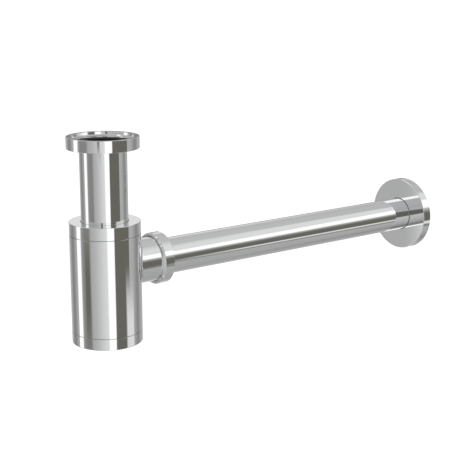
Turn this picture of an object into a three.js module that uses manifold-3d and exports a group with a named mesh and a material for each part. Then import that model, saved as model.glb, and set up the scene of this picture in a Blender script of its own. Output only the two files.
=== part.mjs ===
// Bottle trap for a washbasin: a round chromed brass bottle with an inlet tube and union nut on top,
// and a straight outlet tube to the wall with a cover flange. Millimetres, +Z up, +X towards the wall.
// The origin is the centre of the inlet washer's top face, where the basin waste seals.
import * as THREE from "three";
import { mergeVertices } from "three/addons/utils/BufferGeometryUtils.js";
import Module from "manifold-3d";

const wasm = await Module();
wasm.setup();

// Driving dimensions
const INLET_R = 20; // outer radius of the inlet tube
const OUTLET_R = 16; // outer radius of the outlet tube
const TUBE_WALL = 1;
const BODY_R = 30.25; // the bottle, its cap and its cleaning bowl
const BODY_TOP = -66.7;
const BODY_HEIGHT = 105;
const CAP_HEIGHT = 10.8;
const BOWL_HEIGHT = 9.95;
const SHELL_WALL = 1.2;
const OUTLET_Z = -107; // height of the outlet's axis
const WALL_X = 359.75; // the finished wall
const OUTLET_LENGTH = 330; // cut length of the outlet tube
const OUTLET_START = 36; // its end inside the bottle's spigot
const INLET_NUT_R = 30.45;
const INLET_NUT_RISE = 4.7; // rim of the nut above the washer
const INLET_NUT_HEIGHT = 10;
const SPIGOT_R = 19.6;
const SPIGOT_END = 51.5;
const OUTLET_NUT_R = 22.62;
const OUTLET_NUT_START = 45.2;
const OUTLET_NUT_LENGTH = 10.3;
const FLANGE_R = 35.95;
const FLANGE_DEPTH = 9.5;
const FLANGE_WALL = 1.4;
const FLOOR_CLEARANCE = 9; // from the inlet tube's open end to the floor of the bowl
const PARTING = 0.25; // seam between the bottle and its screwed ends
const BRAZE_LAP = 8; // length of each threaded ring inside the shell
const PITCH = 2; // threads of the cap, the bowl and the outlet nut
const UNION_PITCH = 2.309; // eleven threads to the inch, on the inlet nut
const THREAD_DEPTH = 0.9;
const THREAD_PLAY = 0.35; // radial clearance between mating threads
const THREAD_RELIEF = 0.3; // plain length at each end of a thread
const GAP = 0.1; // between pieces that rest on each other
const SLIDE = 0.15; // rubber on a tube
const EDGE = 0.3; // broken edges
const SEGMENTS = 40;

// Worked out from them
const bodyBottom = BODY_TOP - BODY_HEIGHT;
const capBottom = BODY_TOP - CAP_HEIGHT;
const shellTop = capBottom - PARTING;
const bowlTop = bodyBottom + BOWL_HEIGHT;
const shellBottom = bowlTop + PARTING;
const shellInner = BODY_R - SHELL_WALL;
const ringOuter = shellInner - 1.5 * GAP; // rings brazed inside the shell
const maleRoot = 27.25;
const maleCrest = maleRoot + THREAD_DEPTH;
const femaleRoot = maleCrest + THREAD_PLAY;
const femaleCrest = femaleRoot - THREAD_DEPTH;
const bowlFloor = bodyBottom + 1.7;

// V threads: [place within one pitch, height of the ridge]
const MALE_FORM = [[0, 0], [0.5, 1]];
const FEMALE_FORM = [[0, 1], [0.5, 0]];
const FLAT_CREST_FORM = [[0, 1], [0.22, 0], [0.44, 1]];
const RUN_OUT = 0.8; // length over which a thread fades at its ends

// A step of an outline that is a helical thread from one height to another. The ridge stands out of
// the base radius, outwards for a positive height and inwards for a negative one.
function thread(base, from, to, height, pitch, form) {
  const low = Math.min(from, to);
  const high = Math.max(from, to);
  const rows = [];
  for (let turn = Math.floor(low / pitch) - 1; turn <= Math.ceil(high / pitch); turn++)
    for (const [place, ridge] of form) rows.push({ at: (turn + place) * pitch, ridge });
  const steps = rows.map(({ at, ridge }) => (angle) => {
    const z = THREE.MathUtils.clamp(at + (pitch * angle) / (2 * Math.PI), low, high);
    const fade = Math.min(1, (z - low) / RUN_OUT, (high - z) / RUN_OUT);
    return [base + height * ridge * fade, z];
  });
  return from < to ? steps : steps.reverse();
}

// A turned piece: its closed outline, counter-clockwise with radius to the right and Z up, spun
// about Z. A step is a fixed [radius, z], or a function of the angle along a thread.
function turned(outline) {
  const steps = [...outline, outline[0]];
  const points = steps.map(() => new THREE.Vector2());
  const geometry = new THREE.LatheGeometry(points, SEGMENTS);
  const position = geometry.getAttribute("position");
  for (let column = 0; column <= SEGMENTS; column++) {
    const angle = (column / SEGMENTS) * 2 * Math.PI;
    steps.forEach((step, row) => {
      const [r, z] = typeof step === "function" ? step(angle) : step;
      position.setXYZ(column * steps.length + row, r * Math.sin(angle), z, r * Math.cos(angle));
    });
  }
  geometry.rotateX(Math.PI / 2);
  return geometry;
}

// A plain ring of rectangular section.
function ring(inner, outer, bottom, top) {
  return turned([[inner, bottom], [outer, bottom], [outer, top], [inner, top]]);
}

// A piece turned about Z, laid along the outlet's axis.
function alongOutlet(geometry) {
  return geometry.rotateY(Math.PI / 2).translate(0, 0, OUTLET_Z);
}

// A geometry as a manifold-3d solid, for joining and cutting.
function solid(geometry) {
  const bare = geometry.clone();
  bare.deleteAttribute("normal");
  bare.deleteAttribute("uv");
  const merged = mergeVertices(bare, 1e-3);
  return new wasm.Manifold(
    new wasm.Mesh({
      numProp: 3,
      vertProperties: merged.getAttribute("position").array,
      triVerts: new Uint32Array(merged.index.array),
    }),
  );
}

// One geometry with another cut out of it.
function cut(geometry, tool) {
  const mesh = solid(geometry).subtract(solid(tool)).getMesh();
  const result = new THREE.BufferGeometry();
  result.setAttribute("position", new THREE.BufferAttribute(mesh.vertProperties, 3));
  result.setIndex(new THREE.BufferAttribute(mesh.triVerts, 1));
  result.computeVertexNormals();
  return result;
}

const chrome = { color: 0xdfe1e2, metalness: 1, roughness: 0.06 };
const brass = { color: 0xc9a45c, metalness: 1, roughness: 0.35 };
const rubber = { color: 0x101011, metalness: 0, roughness: 0.75 };
const slipPlastic = { color: 0xe9e9e4, metalness: 0, roughness: 0.5 };

const trap = new THREE.Group();

function add(name, geometry, look) {
  const mesh = new THREE.Mesh(geometry, new THREE.MeshStandardMaterial(look));
  mesh.name = name;
  trap.add(mesh);
}

// Inlet: washer, flared tube, slip ring and captive union nut, stacked downwards from the origin
const washerBottom = -2;
const flareTop = washerBottom - GAP / 2;
const flareBottom = flareTop - 1.1;
const flareOuter = 22.2;
const washerInner = 18.2;
const washerOuter = 22.3;
const slipTop = flareBottom - GAP;
const slipBottom = slipTop - 0.7;
const nutBottom = INLET_NUT_RISE - INLET_NUT_HEIGHT;
const inletEnd = bowlFloor + FLOOR_CLEARANCE;

function inletTube() {
  const inner = INLET_R - TUBE_WALL;
  return turned([
    [inner, inletEnd],
    [INLET_R, inletEnd],
    [INLET_R, flareBottom - 0.6],
    [INLET_R + 0.6, flareBottom],
    [flareOuter, flareBottom],
    [flareOuter, flareTop],
    [inner, flareTop],
  ]);
}

// The nut has a plain mouth above its thread, and a lip at its foot that catches the slip ring.
function inletNut() {
  const mouthR = 26.9;
  const mouthTaper = 0.6;
  const mouthFloor = INLET_NUT_RISE - 2.4;
  const threadRoot = 23.95;
  const threadHeight = 0.85;
  const threadTop = mouthFloor - 0.8;
  const threadBottom = -2.4;
  const lipTop = slipBottom - GAP;
  const lipInner = INLET_R + 0.35;
  return turned([
    [lipInner, nutBottom],
    [INLET_NUT_R - EDGE, nutBottom],
    [INLET_NUT_R, nutBottom + EDGE],
    [INLET_NUT_R, INLET_NUT_RISE - EDGE],
    [INLET_NUT_R - EDGE, INLET_NUT_RISE],
    [mouthR, INLET_NUT_RISE],
    [mouthR - mouthTaper, mouthFloor],
    [threadRoot, threadTop],
    ...thread(threadRoot, threadTop - GAP, threadBottom, -threadHeight, UNION_PITCH, FLAT_CREST_FORM),
    [threadRoot, lipTop],
    [lipInner, lipTop],
  ]);
}

add("inlet_washer", ring(washerInner, washerOuter, washerBottom, 0), rubber);
add("dip_tube", inletTube(), chrome);
add("inlet_slip_ring", ring(INLET_R + 0.7, flareOuter, slipBottom, slipTop), slipPlastic);
add("inlet_nut", inletNut(), chrome);

// Top of the bottle: cap nut, slip washer and cone seal gripping the inlet tube, on a threaded collar
const capPlate = 2.2;
const capUnder = BODY_TOP - capPlate;
const capSlipBottom = capUnder - GAP - 1;
const capSealTop = capSlipBottom - GAP;
const seatTop = -71.3;
const seatBottom = -76.3;
const seatMouth = 24.7;
const seatThroat = 21.3;
const sealClear = 0.4; // between the cone seal and its seat, along the radius
const capSlipOuter = 27;

function capNut() {
  const hole = INLET_R + 0.35;
  return turned([
    [femaleRoot, capBottom],
    [BODY_R - EDGE / 2, capBottom],
    [BODY_R, capBottom + EDGE / 2],
    [BODY_R, BODY_TOP - EDGE],
    [BODY_R - EDGE, BODY_TOP],
    [hole, BODY_TOP],
    [hole, capUnder],
    [femaleRoot, capUnder],
    ...thread(
      femaleRoot,
      capUnder - THREAD_RELIEF,
      capBottom + THREAD_RELIEF,
      -THREAD_DEPTH,
      PITCH,
      FEMALE_FORM,
    ),
  ]);
}

function topCollar() {
  const guide = INLET_R + 0.6;
  const web = shellTop - 3;
  const skirt = shellTop - BRAZE_LAP;
  return turned([
    [guide, web],
    [maleRoot, web],
    [maleRoot, skirt],
    [ringOuter, skirt],
    [ringOuter, shellTop],
    [maleRoot, shellTop],
    ...thread(
      maleRoot,
      shellTop + THREAD_RELIEF,
      seatTop - THREAD_RELIEF,
      THREAD_DEPTH,
      PITCH,
      MALE_FORM,
    ),
    [maleRoot - 0.2, seatTop],
    [seatMouth, seatTop],
    [seatThroat, seatBottom],
    [guide, seatBottom],
  ]);
}

function coneSeal(bore, throat, mouth, throatAt, mouthAt, headAt) {
  return turned([
    [bore, throatAt],
    [throat, throatAt],
    [mouth, mouthAt],
    [mouth, headAt],
    [bore, headAt],
  ]);
}

add("cap_nut", capNut(), chrome);
add("cap_slip_washer", ring(INLET_R + 0.2, capSlipOuter, capSlipBottom, capUnder - GAP), slipPlastic);
add(
  "cap_cone_seal",
  coneSeal(
    INLET_R + SLIDE,
    seatThroat - sealClear,
    seatMouth - sealClear,
    seatBottom,
    seatTop,
    capSealTop,
  ),
  rubber,
);
add("top_collar", topCollar(), brass);

// The bottle's shell, with a round hole for the spigot
const spigotRootEnd = 10; // inside the shell, before the spigot's end is cut to the wall's curve
function bottleShell() {
  const tube = ring(shellInner, BODY_R, shellBottom, shellTop);
  const drillR = SPIGOT_R + 0.3;
  const drillEnd = BODY_R + 10;
  const drill = alongOutlet(
    turned([[0, spigotRootEnd], [drillR, spigotRootEnd], [drillR, drillEnd], [0, drillEnd]]),
  );
  return cut(tube, drill);
}

add("bottle_shell", bottleShell(), chrome);

// Foot of the bottle: threaded ring, flat seal and cleaning bowl
const baseRingEnd = bodyBottom + 3.5;
const baseBore = 25.2;
const bowlSealInner = 24.8;
const bowlSealOuter = 27.3;

function baseRing() {
  return turned([
    [baseBore, baseRingEnd],
    [maleRoot - 0.2, baseRingEnd],
    ...thread(
      maleRoot,
      baseRingEnd + THREAD_RELIEF,
      shellBottom - THREAD_RELIEF,
      THREAD_DEPTH,
      PITCH,
      MALE_FORM,
    ),
    [maleRoot, shellBottom],
    [ringOuter, shellBottom],
    [ringOuter, shellBottom + BRAZE_LAP],
    [maleRoot, shellBottom + BRAZE_LAP],
    [baseBore, shellBottom + 4],
  ]);
}

function cleaningBowl() {
  const edge = 0.7;
  return turned([
    [0, bodyBottom],
    [BODY_R - edge, bodyBottom],
    [BODY_R - 0.3 * edge, bodyBottom + 0.3 * edge],
    [BODY_R, bodyBottom + edge],
    [BODY_R, bowlTop - EDGE / 2],
    [BODY_R - EDGE / 2, bowlTop],
    [femaleRoot, bowlTop],
    ...thread(
      femaleRoot,
      bowlTop - THREAD_RELIEF,
      bowlFloor + THREAD_RELIEF,
      -THREAD_DEPTH,
      PITCH,
      FEMALE_FORM,
    ),
    [femaleRoot, bowlFloor],
    [0, bowlFloor],
  ]);
}

add("base_ring", baseRing(), brass);
add("bowl_seal", ring(bowlSealInner, bowlSealOuter, bowlFloor + GAP, baseRingEnd - GAP), rubber);
add("cleaning_bowl", cleaningBowl(), chrome);

// Outlet: spigot brazed into the shell, cone seal, slip washer and captive nut on the outlet tube
const spigotBore = OUTLET_R + 0.4;
const spigotRoot = SPIGOT_R - THREAD_DEPTH;
const nutEnd = OUTLET_NUT_START + OUTLET_NUT_LENGTH;
const nutPlate = nutEnd - 2.2;
const nutRoot = SPIGOT_R + THREAD_PLAY;
const outletSeatDepth = 3.2;
const outletSlipOuter = 18.5;
const outletSlipThickness = 0.8;

function outletSpigot() {
  const seatStart = SPIGOT_END - outletSeatDepth;
  const threadStart = OUTLET_NUT_START + THREAD_RELIEF;
  const tube = turned([
    [spigotBore, spigotRootEnd],
    [SPIGOT_R, spigotRootEnd],
    [SPIGOT_R, threadStart - 0.6],
    [spigotRoot, threadStart],
    ...thread(
      spigotRoot,
      threadStart + GAP,
      SPIGOT_END - THREAD_RELIEF,
      THREAD_DEPTH,
      PITCH,
      MALE_FORM,
    ),
    [spigotRoot - 0.2, SPIGOT_END],
    [spigotBore + 1.5, SPIGOT_END],
    [spigotBore + 0.3, seatStart],
    [spigotBore, seatStart],
  ]);
  const top = OUTLET_Z + 27;
  const bottom = OUTLET_Z - 33;
  const insideOfShell = turned([[0, bottom], [shellInner, bottom], [shellInner, top], [0, top]]);
  return cut(alongOutlet(tube), insideOfShell);
}

function outletNut() {
  const bevel = 1.2;
  const hole = OUTLET_R + 0.35;
  return alongOutlet(
    turned([
      [hole, nutPlate],
      [nutRoot, nutPlate],
      ...thread(
        nutRoot,
        nutPlate - THREAD_RELIEF,
        OUTLET_NUT_START + THREAD_RELIEF,
        -THREAD_DEPTH,
        PITCH,
        FEMALE_FORM,
      ),
      [nutRoot, OUTLET_NUT_START],
      [OUTLET_NUT_R - bevel, OUTLET_NUT_START],
      [OUTLET_NUT_R, OUTLET_NUT_START + bevel],
      [OUTLET_NUT_R, nutEnd - EDGE],
      [OUTLET_NUT_R - EDGE, nutEnd],
      [hole, nutEnd],
    ]),
  );
}

add("outlet_spigot", outletSpigot(), chrome);
add("outlet_nut", outletNut(), chrome);
add(
  "outlet_slip_washer",
  alongOutlet(
    ring(OUTLET_R + 0.2, outletSlipOuter, nutPlate - GAP - outletSlipThickness, nutPlate - GAP),
  ),
  slipPlastic,
);
add(
  "outlet_cone_seal",
  alongOutlet(
    coneSeal(
      OUTLET_R + SLIDE,
      spigotBore - 0.05,
      spigotBore + 1.2,
      SPIGOT_END - outletSeatDepth,
      SPIGOT_END,
      nutPlate - 2 * GAP - outletSlipThickness,
    ),
  ),
  rubber,
);
add(
  "outlet_tube",
  alongOutlet(ring(OUTLET_R - TUBE_WALL, OUTLET_R, OUTLET_START, OUTLET_START + OUTLET_LENGTH)),
  chrome,
);

// Wall end: hollow cover flange, with a rubber ring in its hub that grips the outlet tube
const flangeFront = WALL_X - FLANGE_DEPTH;
const flangePlate = flangeFront + FLANGE_WALL;
const hubInner = 18.6;
const hubEnd = flangePlate + 5.6;

function wallFlange() {
  const edge = 0.7;
  return alongOutlet(
    turned([
      [OUTLET_R + 0.4, flangeFront],
      [FLANGE_R - edge, flangeFront],
      [FLANGE_R, flangeFront + edge],
      [FLANGE_R, WALL_X],
      [FLANGE_R - FLANGE_WALL, WALL_X],
      [FLANGE_R - FLANGE_WALL, flangePlate],
      [hubInner + FLANGE_WALL, flangePlate],
      [hubInner + FLANGE_WALL, hubEnd],
      [hubInner, hubEnd],
      [hubInner, flangePlate],
      [OUTLET_R + 0.4, flangePlate],
    ]),
  );
}

add("wall_flange", wallFlange(), chrome);
add(
  "flange_grip_ring",
  alongOutlet(ring(OUTLET_R + SLIDE, hubInner - 0.25, flangePlate + GAP, hubEnd - 0.8)),
  rubber,
);

export default trap;
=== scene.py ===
import math

import bmesh
import bpy
from mathutils import Matrix, Vector


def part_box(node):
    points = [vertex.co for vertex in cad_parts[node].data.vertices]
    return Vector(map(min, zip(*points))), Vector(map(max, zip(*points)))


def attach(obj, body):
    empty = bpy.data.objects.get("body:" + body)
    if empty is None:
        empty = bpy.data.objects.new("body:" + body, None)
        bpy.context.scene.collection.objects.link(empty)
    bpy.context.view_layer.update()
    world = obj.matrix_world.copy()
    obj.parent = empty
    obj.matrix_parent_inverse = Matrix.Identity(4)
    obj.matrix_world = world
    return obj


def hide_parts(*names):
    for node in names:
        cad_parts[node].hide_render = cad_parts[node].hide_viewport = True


# A chromed bottle trap. Outlines are in millimetres, in the part's own frame, and turned() makes
# metres of them.
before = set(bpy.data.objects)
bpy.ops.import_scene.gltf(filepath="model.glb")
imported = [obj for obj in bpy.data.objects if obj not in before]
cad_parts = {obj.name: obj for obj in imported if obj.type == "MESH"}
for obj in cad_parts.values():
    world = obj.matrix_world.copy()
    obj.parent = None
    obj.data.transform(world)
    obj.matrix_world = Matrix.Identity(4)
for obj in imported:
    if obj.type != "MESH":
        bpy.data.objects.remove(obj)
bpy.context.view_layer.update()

MM = 0.001
SEGMENTS = 192
SHARP_ANGLE = math.radians(32)
WALL_COSINE = 0.99  # faces this close to facing straight out or in are the shell's round walls
WALL_REACH = 0.05  # how far outside its bore a face may lie and still be a piece's inner wall
HERE = Matrix.Identity(4)


# ---------------------------------------------------------------- sizes taken from the frame
def span(node, axis):
    """Lowest and highest place of a CAD node along an axis, in millimetres."""
    low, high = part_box(node)
    return low["XYZ".index(axis)] / MM, high["XYZ".index(axis)] / MM


def radius(node):
    """Outer radius of a turned CAD node, in millimetres."""
    return span(node, "Y")[1]


INLET_R = 20.0  # inlet tube
OUTLET_R = radius("outlet_tube")
TUBE_WALL = 1.0
BODY_R = radius("bottle_shell")
SHELL_BOTTOM, SHELL_TOP = span("bottle_shell", "Z")
SHELL_WALL = 1.2
CAP_BOTTOM, CAP_TOP = span("cap_nut", "Z")
BOWL_BOTTOM, BOWL_TOP = span("cleaning_bowl", "Z")
BOWL_FLOOR = BOWL_BOTTOM + 1.7  # the floor's upper side
INLET_NUT_BOTTOM, INLET_NUT_RIM = span("inlet_nut", "Z")
SPIGOT_R = radius("outlet_spigot")
SPIGOT_END = span("outlet_spigot", "X")[1]
OUTLET_NUT_START, OUTLET_NUT_END = span("outlet_nut", "X")
FLANGE_FRONT, FLANGE_BACK = span("wall_flange", "X")
OUTLET_Z = sum(span("outlet_tube", "Z")) / 2
THREAD_PITCH = 2.0
UNION_PITCH = 2.309
THREAD_DEPTH = 0.9
MALE_ROOT = 27.25  # of the threads on the top collar and the base ring
TURNING_GAP = 0.35  # between a nut or cap and the piece it turns on
FEMALE_ROOT = MALE_ROOT + THREAD_DEPTH + TURNING_GAP
SPIGOT_ROOT = SPIGOT_R - THREAD_DEPTH
OUTLET_NUT_ROOT = SPIGOT_R + TURNING_GAP
THREAD_RELIEF = 0.3  # the plain stretch at each end of a thread
THREAD_LEAD = 0.2  # how far a male thread's end face is chamfered under its root
END_WALL = 2.2  # of the cap and of the outlet nut
OUTLET_HOLE = OUTLET_R + 0.4  # of the spigot and the flange, round the outlet tube

ALONG_OUTLET = Matrix.Translation((0, 0, OUTLET_Z * MM)) @ Matrix.Rotation(math.pi / 2, 4, "Y")

# Thread forms: (place within one pitch, height of the ridge)
MALE_FORM = ((0, 0), (0.06, 0), (0.44, 1), (0.56, 1), (0.94, 0))
FEMALE_FORM = tuple((place, 1 - height) for place, height in MALE_FORM)
FLAT_CREST_FORM = ((0, 1), (0.14, 0.1), (0.2, 0), (0.26, 0.1), (0.4, 1))
RUN_OUT = 0.8  # over this length at each end, a thread's ridge fades away


# ---------------------------------------------------------------- outlines
def rounded(corners):
    """A closed outline of (radius, height) or (radius, height, rounding) corners, as points."""
    points = []
    count = len(corners)
    for i, corner in enumerate(corners):
        here = Vector(corner[:2])
        rounding = corner[2] if len(corner) > 2 else 0
        if not rounding:
            points.append(tuple(here))
            continue
        to_last = (Vector(corners[i - 1][:2]) - here).normalized()
        to_next = (Vector(corners[(i + 1) % count][:2]) - here).normalized()
        half = to_last.angle(to_next) / 2
        reach = rounding / math.tan(half)
        centre = here + (to_last + to_next).normalized() * (rounding / math.sin(half))
        start = here + to_last * reach - centre
        end = here + to_next * reach - centre
        turn = start.angle_signed(end)
        steps = max(3, math.ceil(abs(turn) / math.radians(15)))
        for k in range(steps + 1):
            points.append(tuple(centre + Matrix.Rotation(-turn * k / steps, 2) @ start))
    return points


def thread(base, start, end, height, pitch, form):
    """Steps of an outline along a helical thread: functions of the angle round the axis."""
    low, high = min(start, end), max(start, end)
    places = [
        ((turn + place) * pitch, ridge)
        for turn in range(math.floor(low / pitch) - 1, math.ceil(high / pitch) + 1)
        for place, ridge in form
    ]

    def step(at, ridge):
        def point(angle):
            z = min(max(at + pitch * angle / math.tau, low), high)
            fade = min(1, (z - low) / RUN_OUT, (high - z) / RUN_OUT)
            return base + height * ridge * fade, z

        return point

    steps = [step(at, ridge) for at, ridge in places]
    return steps if start < end else steps[::-1]


# ---------------------------------------------------------------- pieces
def finish_mesh(mesh, merge=2e-7):
    """Merges points closer than merge metres, drops empty faces, and marks hard edges."""
    bm = bmesh.new()
    bm.from_mesh(mesh)
    bmesh.ops.remove_doubles(bm, verts=bm.verts, dist=merge)
    bmesh.ops.dissolve_degenerate(bm, edges=bm.edges, dist=merge / 2)
    bmesh.ops.recalc_face_normals(bm, faces=bm.faces)
    for face in bm.faces:
        face.smooth = True
    for edge in bm.edges:
        edge.smooth = len(edge.link_faces) == 2 and edge.calc_face_angle(0) < SHARP_ANGLE
    bm.to_mesh(mesh)
    bm.free()


def turned(name, outline, place=HERE, inner=0):
    """A turned piece. Its faces within the inner radius are unpolished, in its second material."""
    count = len(outline)
    on_axis = [not callable(step) and step[0] == 0 for step in outline]
    vertices = []
    for column in range(SEGMENTS + 1):
        angle = column / SEGMENTS * math.tau
        for step in outline:
            r, z = step(angle) if callable(step) else step
            vertices.append((r * math.cos(angle) * MM, r * math.sin(angle) * MM, z * MM))
    faces = []
    for column in range(SEGMENTS):
        for row in range(count):
            after = (row + 1) % count
            if on_axis[row] and on_axis[after]:
                continue
            a, b = column * count, (column + 1) * count
            faces.append((a + row, b + row, b + after, a + after))
    mesh = bpy.data.meshes.new(name)
    mesh.from_pydata(vertices, [], faces)
    finish_mesh(mesh)
    if inner:
        for face in mesh.polygons:
            face.material_index = int(math.hypot(face.center.x, face.center.y) / MM < inner + WALL_REACH)
    mesh.transform(place)
    piece = bpy.data.objects.new(name, mesh)
    bpy.context.scene.collection.objects.link(piece)
    smooth = piece.modifiers.new("even_shading", "WEIGHTED_NORMAL")
    smooth.weight = 100
    smooth.keep_sharp = True
    return piece


def fit(piece, body, slot, *materials):
    """Puts a piece in place of the CAD node of its own name."""
    for material in materials:
        piece.data.materials.append(material)
    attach(piece, body)
    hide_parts(piece.name.removesuffix("_fine"))
    return piece


def ring(name, edge, bore, place=HERE):
    """A plain ring that fills its CAD node's box, with edges rounded by this radius."""
    along = "Z" if place == HERE else "X"
    low, high = span(name, along)
    outer = radius(name)
    outline = rounded(
        [
            (bore, low, edge),
            (outer, low, edge),
            (outer, high, edge),
            (bore, high, edge),
        ]
    )
    return turned(name + "_fine", outline, place)


# ---------------------------------------------------------------- materials
def new_material(name):
    material = bpy.data.materials.new(name)
    material.use_nodes = True
    nodes = material.node_tree.nodes
    return material, nodes, material.node_tree.links, nodes["Principled BSDF"]


def noise(nodes, links, scale, detail, stretch=None):
    """A noise texture over the piece's own space, in cycles per metre."""
    coordinates = nodes.new("ShaderNodeTexCoord")
    texture = nodes.new("ShaderNodeTexNoise")
    texture.inputs["Scale"].default_value = scale
    texture.inputs["Detail"].default_value = detail
    if stretch:
        mapping = nodes.new("ShaderNodeMapping")
        mapping.inputs["Scale"].default_value = stretch
        links.new(coordinates.outputs["Object"], mapping.inputs["Vector"])
        links.new(mapping.outputs["Vector"], texture.inputs["Vector"])
    else:
        links.new(coordinates.outputs["Object"], texture.inputs["Vector"])
    return texture.outputs["Fac"]


def remap(nodes, links, value, low, high):
    """A value from 0 to 1 spread between low and high."""
    node = nodes.new("ShaderNodeMapRange")
    node.inputs["To Min"].default_value = low
    node.inputs["To Max"].default_value = high
    links.new(value, node.inputs["Value"])
    return node.outputs["Result"]


def tint(nodes, links, share, low, high, shader):
    """The base colour, from low where the share is 0 to high where it is 1."""
    ramp = nodes.new("ShaderNodeValToRGB")
    ramp.color_ramp.elements[0].color = low
    ramp.color_ramp.elements[1].color = high
    links.new(share, ramp.inputs["Fac"])
    links.new(ramp.outputs["Color"], shader.inputs["Base Color"])


def bump(nodes, links, height, distance, shader):
    node = nodes.new("ShaderNodeBump")
    node.inputs["Strength"].default_value = 1.0
    node.inputs["Distance"].default_value = distance
    links.new(height, node.inputs["Height"])
    links.new(node.outputs["Normal"], shader.inputs["Normal"])


def chrome_plate():
    material, nodes, links, shader = new_material("chrome_plate")
    shader.inputs["Metallic"].default_value = 1.0
    shader.inputs["Base Color"].default_value = (0.86, 0.865, 0.87, 1)
    polish = noise(nodes, links, scale=90, detail=4)
    links.new(remap(nodes, links, polish, low=0.02, high=0.05), shader.inputs["Roughness"])
    return material


def raw_brass():
    material, nodes, links, shader = new_material("raw_brass")
    shader.inputs["Metallic"].default_value = 1.0
    stain = noise(nodes, links, scale=140, detail=5)
    tint(nodes, links, stain, (0.42, 0.29, 0.11, 1), (0.72, 0.53, 0.24, 1), shader)
    lines = noise(nodes, links, scale=900, detail=3, stretch=(1, 1, 6))
    links.new(remap(nodes, links, lines, low=0.22, high=0.5), shader.inputs["Roughness"])
    return material


def black_rubber():
    material, nodes, links, shader = new_material("black_rubber")
    grain = noise(nodes, links, scale=1500, detail=5)
    tint(nodes, links, grain, (0.006, 0.006, 0.006, 1), (0.016, 0.016, 0.017, 1), shader)
    links.new(remap(nodes, links, grain, low=0.55, high=0.8), shader.inputs["Roughness"])
    bump(nodes, links, grain, distance=0.00004, shader=shader)
    return material


def slip_plastic():
    material, nodes, links, shader = new_material("slip_plastic")
    cloud = noise(nodes, links, scale=260, detail=3)
    tint(nodes, links, cloud, (0.70, 0.70, 0.66, 1), (0.80, 0.80, 0.77, 1), shader)
    links.new(remap(nodes, links, cloud, low=0.35, high=0.55), shader.inputs["Roughness"])
    shader.inputs["Subsurface Weight"].default_value = 0.15
    shader.inputs["Subsurface Radius"].default_value = (0.002, 0.002, 0.002)
    return material


CHROME = chrome_plate()
BRASS = raw_brass()
RUBBER = black_rubber()
PLASTIC = slip_plastic()


# ---------------------------------------------------------------- inlet
def inlet_nut():
    """The union nut: a plain mouth above its thread, and a lip at its foot."""
    mouth, mouth_taper, mouth_depth, mouth_chamfer = 26.9, 0.6, 2.4, 0.8
    root, thread_bottom, thread_height = 23.95, -2.4, 0.85
    lip_bore, lip_top = INLET_R + TURNING_GAP, INLET_NUT_BOTTOM + 1.25
    low, rim = INLET_NUT_BOTTOM, INLET_NUT_RIM
    mouth_floor = rim - mouth_depth
    thread_top = mouth_floor - mouth_chamfer
    outer = radius("inlet_nut")
    outline = rounded(
        [
            (lip_bore, low, 0.2),
            (outer, low, 0.35),
            (outer, rim, 0.35),
            (mouth, rim, 0.3),
            (mouth - mouth_taper, mouth_floor, 0.2),
            (root, thread_top, 0.1),
        ]
    )
    outline += thread(root, thread_top - 0.1, thread_bottom, -thread_height, UNION_PITCH, FLAT_CREST_FORM)
    outline += [(root, lip_top), (lip_bore, lip_top)]
    return turned("inlet_nut_fine", outline)


def dip_tube():
    bore = INLET_R - TUBE_WALL
    flare = radius("dip_tube")
    low, high = span("dip_tube", "Z")
    flare_bottom = high - 1.1
    outline = rounded(
        [
            (bore, low, 0.2),
            (INLET_R, low, 0.2),
            (INLET_R, flare_bottom, 0.6),
            (flare, flare_bottom, 0.3),
            (flare, high, 0.3),
            (bore, high, 0.4),
        ]
    )
    return turned("dip_tube_fine", outline, inner=bore)


# ---------------------------------------------------------------- bottle
def cap_nut():
    hole = INLET_R + TURNING_GAP
    under = CAP_TOP - END_WALL
    thread_top, thread_bottom = under - THREAD_RELIEF, CAP_BOTTOM + THREAD_RELIEF
    plain = rounded(
        [
            (FEMALE_ROOT, CAP_BOTTOM),
            (BODY_R, CAP_BOTTOM, 0.2),
            (BODY_R, CAP_TOP, 0.45),
            (hole, CAP_TOP, 0.15),
            (hole, under),
            (FEMALE_ROOT, under),
        ]
    )
    spiral = thread(FEMALE_ROOT, thread_top, thread_bottom, -THREAD_DEPTH, THREAD_PITCH, FEMALE_FORM)
    return turned("cap_nut_fine", plain + spiral)


def top_collar():
    low, top = span("top_collar", "Z")
    guide = INLET_R + 0.6  # its bore, which steadies the inlet tube
    outer = radius("top_collar")
    web = SHELL_TOP - 3
    seat_mouth, seat_throat, seat = 24.7, 21.3, top - 5
    thread_bottom, thread_top = SHELL_TOP + THREAD_RELIEF, top - THREAD_RELIEF
    outline = [(guide, web), (MALE_ROOT, web), (MALE_ROOT, low), (outer, low), (outer, SHELL_TOP)]
    outline += [(MALE_ROOT, SHELL_TOP)]
    outline += thread(MALE_ROOT, thread_bottom, thread_top, THREAD_DEPTH, THREAD_PITCH, MALE_FORM)
    outline += [(MALE_ROOT - THREAD_LEAD, top), (seat_mouth, top), (seat_throat, seat), (guide, seat)]
    return turned("top_collar_fine", outline)


def cone_seal(name, bore, throat, mouth, cone, place=HERE):
    """A seal whose outside widens from throat to mouth over the height of its cone."""
    seat, high = span(name, "Z" if place == HERE else "X")
    low = seat + 0.1  # just clear of the ledge that it rests on
    outline = rounded(
        [
            (bore, low, 0.1),
            (throat, low, 0.1),
            (mouth, seat + cone, 0.4),
            (mouth, high, 0.2),
            (bore, high, 0.2),
        ]
    )
    return turned(name + "_fine", outline, place)


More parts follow.
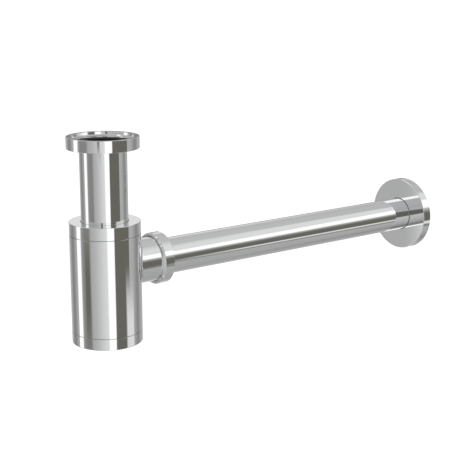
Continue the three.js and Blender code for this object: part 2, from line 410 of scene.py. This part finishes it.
def bottle_shell():
    inner = BODY_R - SHELL_WALL
    outline = rounded(
        [
            (inner, SHELL_BOTTOM),
            (BODY_R, SHELL_BOTTOM, 0.2),
            (BODY_R, SHELL_TOP, 0.2),
            (inner, SHELL_TOP),
        ]
    )
    shell = turned("bottle_shell_fine", outline, inner=inner)
    drill_r, drill_start, drill_end = SPIGOT_R + 0.3, 10, 40
    drill_outline = [(0, drill_start), (drill_r, drill_start), (drill_r, drill_end), (0, drill_end)]
    drill = turned("drill", drill_outline, ALONG_OUTLET)
    hole = shell.modifiers.new("outlet_hole", "BOOLEAN")
    hole.operation = "DIFFERENCE"
    hole.solver = "EXACT"
    hole.object = drill
    shell.modifiers.remove(shell.modifiers["even_shading"])
    bpy.context.view_layer.update()
    cut = bpy.data.meshes.new_from_object(shell.evaluated_get(bpy.context.evaluated_depsgraph_get()))
    shell.modifiers.clear()
    shell.data = cut
    bpy.data.objects.remove(drill)
    finish_mesh(cut, merge=2e-6)
    radial_normals(cut)
    return shell


def radial_normals(mesh):
    """Exact normals on the shell's round walls, so that its cut faces still mirror smoothly."""
    normals = [Vector()] * len(mesh.loops)
    for face in mesh.polygons:
        outward = Vector((face.center.x, face.center.y, 0)).normalized()
        on_wall = abs(face.normal.dot(outward)) > WALL_COSINE
        for k in face.loop_indices:
            place = mesh.vertices[mesh.loops[k].vertex_index].co
            round_normal = Vector((place.x, place.y, 0)).normalized()
            if face.normal.dot(outward) < 0:
                round_normal = -round_normal
            normals[k] = round_normal if on_wall else Vector(face.normal)
    mesh.normals_split_custom_set(normals)


def base_ring():
    low = span("base_ring", "Z")[0]
    bore = 25.2
    outer = radius("base_ring")
    thread_bottom, thread_top = low + THREAD_RELIEF, SHELL_BOTTOM - THREAD_RELIEF
    brazed_top, ramp_foot = SHELL_BOTTOM + 8, SHELL_BOTTOM + 4
    outline = [(bore, low), (MALE_ROOT - THREAD_LEAD, low)]
    outline += thread(MALE_ROOT, thread_bottom, thread_top, THREAD_DEPTH, THREAD_PITCH, MALE_FORM)
    outline += [(MALE_ROOT, SHELL_BOTTOM), (outer, SHELL_BOTTOM), (outer, brazed_top)]
    outline += [(MALE_ROOT, brazed_top), (bore, ramp_foot)]
    return turned("base_ring_fine", outline)


def cleaning_bowl():
    thread_top, thread_bottom = BOWL_TOP - THREAD_RELIEF, BOWL_FLOOR + THREAD_RELIEF
    plain = rounded(
        [
            (0, BOWL_BOTTOM),
            (BODY_R, BOWL_BOTTOM, 0.7),
            (BODY_R, BOWL_TOP, 0.2),
            (FEMALE_ROOT, BOWL_TOP),
        ]
    )
    spiral = thread(FEMALE_ROOT, thread_top, thread_bottom, -THREAD_DEPTH, THREAD_PITCH, FEMALE_FORM)
    return turned("cleaning_bowl_fine", plain + spiral + [(FEMALE_ROOT, BOWL_FLOOR), (0, BOWL_FLOOR)])


# ---------------------------------------------------------------- outlet
def saddle(r, angle, wall_radius):
    """How far along the outlet's axis the bottle's round wall lies, at a place round the spigot."""
    return math.sqrt(wall_radius**2 - (r * math.sin(angle)) ** 2)


def outlet_spigot():
    bore = OUTLET_HOLE
    inner_wall = BODY_R - SHELL_WALL
    fillet, fillet_steps = 1.6, 10
    clear = 0.01  # keeps the fillet's foot just off the shell
    start = OUTLET_NUT_START + 1.1  # the thread starts inside the nut, so no groove shows
    shoulder = start - 0.6
    seat_mouth, seat_throat, seat = bore + 1.5, bore + 0.3, SPIGOT_END - 3.2

    def inside_end(r):
        return lambda angle: (r, saddle(r, angle, inner_wall))

    def fillet_point(t):
        r = SPIGOT_R + fillet * (1 - math.sin(t))
        rise = fillet * (1 - math.cos(t))
        return lambda angle: (r, saddle(r, angle, BODY_R) + clear + rise)

    outline = [inside_end(bore), inside_end(SPIGOT_R)]
    outline += [lambda angle: (SPIGOT_R, saddle(SPIGOT_R, angle, BODY_R) + clear / 2)]
    outline += [fillet_point(k / fillet_steps * math.pi / 2) for k in range(fillet_steps + 1)]
    outline += [(SPIGOT_R, shoulder), (SPIGOT_ROOT, start)]
    thread_end = SPIGOT_END - THREAD_RELIEF
    outline += thread(SPIGOT_ROOT, start + 0.1, thread_end, THREAD_DEPTH, THREAD_PITCH, MALE_FORM)
    outline += [
        (SPIGOT_ROOT - THREAD_LEAD, SPIGOT_END),
        (seat_mouth, SPIGOT_END),
        (seat_throat, seat),
        (bore, seat),
    ]
    return turned("outlet_spigot_fine", outline, ALONG_OUTLET)


def outlet_nut():
    outer = radius("outlet_nut")
    bevel = 1.2
    plate = OUTLET_NUT_END - END_WALL
    hole = OUTLET_R + TURNING_GAP
    thread_end, thread_start = plate - THREAD_RELIEF, OUTLET_NUT_START + THREAD_RELIEF
    outline = [(hole, plate), (OUTLET_NUT_ROOT, plate)]
    outline += thread(
        OUTLET_NUT_ROOT, thread_end, thread_start, -THREAD_DEPTH, THREAD_PITCH, FEMALE_FORM
    )
    outline += rounded(
        [
            (OUTLET_NUT_ROOT, OUTLET_NUT_START),
            (outer - bevel, OUTLET_NUT_START, 0.15),
            (outer, OUTLET_NUT_START + bevel, 0.3),
            (outer, OUTLET_NUT_END, 0.35),
            (hole, OUTLET_NUT_END, 0.15),
        ]
    )
    return turned("outlet_nut_fine", outline[::-1], ALONG_OUTLET)


def outlet_tube():
    low, high = span("outlet_tube", "X")
    bore = OUTLET_R - TUBE_WALL
    outline = rounded([(bore, low, 0.2), (OUTLET_R, low, 0.2), (OUTLET_R, high, 0.3), (bore, high, 0.2)])
    return turned("outlet_tube_fine", outline, ALONG_OUTLET, inner=bore)


def wall_flange():
    wall = 1.4
    plate = FLANGE_FRONT + wall
    hub = 18.6
    hub_end = plate + 5.6
    outer = radius("wall_flange")
    outline = rounded(
        [
            (OUTLET_HOLE, FLANGE_FRONT, 0.3),
            (outer, FLANGE_FRONT, 0.5),
            (outer, FLANGE_BACK, 0.25),
            (outer - wall, FLANGE_BACK, 0.2),
            (outer - wall, plate, 0.6),
            (hub + wall, plate, 0.5),
            (hub + wall, hub_end, 0.2),
            (hub, hub_end, 0.2),
            (hub, plate),
            (OUTLET_HOLE, plate),
        ]
    )
    return turned("wall_flange_fine", outline, ALONG_OUTLET)


fit(ring("inlet_washer", edge=0.25, bore=18.2), "inlet", "rubber", RUBBER)
fit(dip_tube(), "inlet", "chrome", CHROME, BRASS)
fit(ring("inlet_slip_ring", edge=0.1, bore=INLET_R + 0.7), "inlet_slip_ring", "slip_plastic", PLASTIC)
fit(inlet_nut(), "inlet_nut", "chrome", CHROME)
fit(cap_nut(), "cap_nut", "chrome", CHROME)
fit(ring("cap_slip_washer", edge=0.15, bore=INLET_R + 0.2), "cap_slip_washer", "slip_plastic", PLASTIC)
fit(
    cone_seal("cap_cone_seal", bore=INLET_R + 0.15, throat=20.9, mouth=24.3, cone=5),
    "cap_cone_seal",
    "rubber",
    RUBBER,
)
fit(top_collar(), "bottle", "raw_brass", BRASS)
fit(bottle_shell(), "bottle", "chrome", CHROME, BRASS)
fit(base_ring(), "bottle", "raw_brass", BRASS)
fit(ring("bowl_seal", edge=0.2, bore=24.8), "bowl_seal", "rubber", RUBBER)
fit(cleaning_bowl(), "cleaning_bowl", "chrome", CHROME)
fit(outlet_spigot(), "bottle", "chrome", CHROME)
fit(outlet_nut(), "outlet_nut", "chrome", CHROME)
fit(
    ring("outlet_slip_washer", edge=0.15, bore=OUTLET_R + 0.2, place=ALONG_OUTLET),
    "outlet_slip_washer",
    "slip_plastic",
    PLASTIC,
)
fit(
    cone_seal(
        "outlet_cone_seal",
        bore=OUTLET_R + 0.15,
        throat=OUTLET_R + 0.35,
        mouth=OUTLET_R + 1.6,
        cone=3.2,
        place=ALONG_OUTLET,
    ),
    "outlet_cone_seal",
    "rubber",
    RUBBER,
)
fit(outlet_tube(), "outlet_tube", "chrome", CHROME, BRASS)
fit(wall_flange(), "wall_flange", "chrome", CHROME)
fit(
    ring("flange_grip_ring", edge=0.25, bore=OUTLET_R + 0.15, place=ALONG_OUTLET),
    "flange_grip_ring",
    "rubber",
    RUBBER,
)


# ---------------------------------------------------------------- floor, light, camera
def floor():
    mesh = bpy.data.meshes.new("floor")
    half, height = 60, -1.2  # metres
    corners = [(-half, -half, height), (half, -half, height), (half, half, height), (-half, half, height)]
    mesh.from_pydata(corners, [], [(0, 1, 2, 3)])
    piece = bpy.data.objects.new("floor", mesh)
    bpy.context.scene.collection.objects.link(piece)
    material, nodes, links, shader = new_material("floor")
    shader.inputs["Base Color"].default_value = (0.9, 0.9, 0.9, 1)
    shader.inputs["Roughness"].default_value = 0.9
    shader.inputs["Emission Color"].default_value = (1, 1, 1, 1)
    shader.inputs["Emission Strength"].default_value = 0.6
    mesh.materials.append(material)
    piece.visible_glossy = False


# The studio is a pale tent with soft panels standing round it. Softboxes are bright, and flags are
# dark brown cards. Angles are in degrees, azimuth from +X towards +Y.
TENT_FLOOR, TENT_HORIZON, TENT_CEILING = (0.40,) * 3, (0.46,) * 3, (0.62,) * 3
SOFTBOX = (1.2, 1.2, 1.2)
GLOW = (0.8, 0.8, 0.8)
SHADE = (0.26, 0.26, 0.25)
FLAG = (0.15, 0.145, 0.125)
BACKDROP = (1, 1, 1)


class Studio:
    """The world's light, looked up by direction."""

    def __init__(self):
        world = bpy.data.worlds.new("studio")
        bpy.context.scene.world = world
        world.use_nodes = True
        self.nodes = world.node_tree.nodes
        self.links = world.node_tree.links
        direction = self.nodes.new("ShaderNodeTexCoord").outputs["Generated"]
        split = self.nodes.new("ShaderNodeSeparateXYZ")
        self.links.new(direction, split.inputs["Vector"])
        self.azimuth = self.math("ARCTAN2", split.outputs["Y"], split.outputs["X"])
        self.elevation = self.math("ARCSINE", split.outputs["Z"])
        below = self.blend(self.fade(self.elevation, -90, 0), TENT_FLOOR, TENT_HORIZON)
        self.light = self.blend(self.fade(self.elevation, 0, 90), below, TENT_CEILING)

    def connect(self, socket, value):
        """Sets a number or a colour, or links another node's output."""
        if isinstance(value, (int, float)):
            socket.default_value = value
        elif isinstance(value, tuple):
            socket.default_value = (*value, 1)
        else:
            self.links.new(value, socket)

    def math(self, operation, *values):
        node = self.nodes.new("ShaderNodeMath")
        node.operation = operation
        for socket, value in zip(node.inputs, values):
            self.connect(socket, value)
        return node.outputs[0]

    def fade(self, value, start, end):
        """0 at the start angle and 1 at the end angle, smooth between."""
        node = self.nodes.new("ShaderNodeMapRange")
        node.interpolation_type = "SMOOTHSTEP"
        node.inputs["From Min"].default_value = math.radians(start)
        node.inputs["From Max"].default_value = math.radians(end)
        self.links.new(value, node.inputs["Value"])
        return node.outputs["Result"]

    def blend(self, share, below, above):
        node = self.nodes.new("ShaderNodeMixRGB")
        self.links.new(share, node.inputs["Fac"])
        self.connect(node.inputs["Color1"], below)
        self.connect(node.inputs["Color2"], above)
        return node.outputs["Color"]

    def panel(self, colour, azimuths, elevations, soft, soft_ends=None):
        """A panel between two azimuths and two elevations, its sides and ends fading over soft degrees."""
        shares = []
        sides = (self.azimuth, azimuths, soft)
        ends = (self.elevation, elevations, soft_ends or soft)
        for value, (start, end), fading in (sides, ends):
            off_centre = self.math("SUBTRACT", value, math.radians((start + end) / 2))
            distance = self.math("ABSOLUTE", self.math("WRAP", off_centre, math.pi, -math.pi))
            half = (end - start) / 2
            shares.append(self.fade(distance, half + fading / 2, half - fading / 2))
        self.light = self.blend(self.math("MULTIPLY", *shares), self.light, colour)


def studio():
    room = Studio()
    # Behind the object, a lit stretch of tent over a shaded skirting, between two dim stretches.
    room.panel(GLOW, azimuths=(45, 80), elevations=(-70, 30), soft=20)
    room.panel(SHADE, azimuths=(100, 125), elevations=(-50, 15), soft=20)
    room.panel(SHADE, azimuths=(345, 370), elevations=(-50, 15), soft=30)
    room.panel(SHADE, azimuths=(40, 80), elevations=(-9, 10), soft=3)
    # On its left, a broad glow beside a shaded gap and a tall strip light.
    room.panel(GLOW, azimuths=(222, 275), elevations=(-90, 20), soft=60, soft_ends=20)
    room.panel(SHADE, azimuths=(160, 190), elevations=(-60, 10), soft=12)
    room.panel(FLAG, azimuths=(170, 188), elevations=(-19, -14), soft=8, soft_ends=4)
    room.panel(SOFTBOX, azimuths=(138, 155), elevations=(-70, 60), soft=3)
    # In front, the dark camera stand and a tall strip light, then a brown flag with a longer arm level
    # with the outlet, and under the arm the lit edge of a table with shade below it.
    room.panel(FLAG, azimuths=(222, 230), elevations=(-9, 25), soft=2)
    room.panel(SOFTBOX, azimuths=(246, 268), elevations=(-70, 40), soft=6)
    room.panel(GLOW, azimuths=(308, 336), elevations=(-23, -17), soft=4, soft_ends=3)
    room.panel(FLAG, azimuths=(269, 305), elevations=(-60, 25), soft=3)
    room.panel(FLAG, azimuths=(269, 320), elevations=(-16, 13), soft=2)
    room.panel(SHADE, azimuths=(300, 335), elevations=(-28, -23), soft=3)
    # Over the outlet, a long softbox inside its own glow.
    room.panel(GLOW, azimuths=(295, 345), elevations=(10, 55), soft=10, soft_ends=20)
    room.panel(SOFTBOX, azimuths=(298, 340), elevations=(14, 30), soft=4)
    seen = room.nodes.new("ShaderNodeLightPath").outputs["Is Camera Ray"]
    light = room.blend(seen, room.light, BACKDROP)
    room.links.new(light, room.nodes["Background"].inputs["Color"])


def camera():
    """The photo's view: azimuth from -Y towards +X, in the frame's metres, at the photo's distance."""
    aim, distance, lens = Vector((0.1259, 0, -0.0882)), 0.9758, 85.6
    azimuth, elevation = math.radians(-36.75), math.radians(13.09)
    back = Vector(
        (
            math.sin(azimuth) * math.cos(elevation),
            -math.cos(azimuth) * math.cos(elevation),
            math.sin(elevation),
        )
    )
    data = bpy.data.cameras.new("camera")
    data.lens = lens
    data.clip_end = 300
    piece = bpy.data.objects.new("camera", data)
    piece.location = aim + back * distance
    piece.rotation_mode = "QUATERNION"
    piece.rotation_quaternion = (-back).to_track_quat("-Z", "Y")
    bpy.context.scene.collection.objects.link(piece)
    bpy.context.scene.camera = piece


floor()
studio()
camera()
bpy.context.scene.view_settings.view_transform = "Standard"
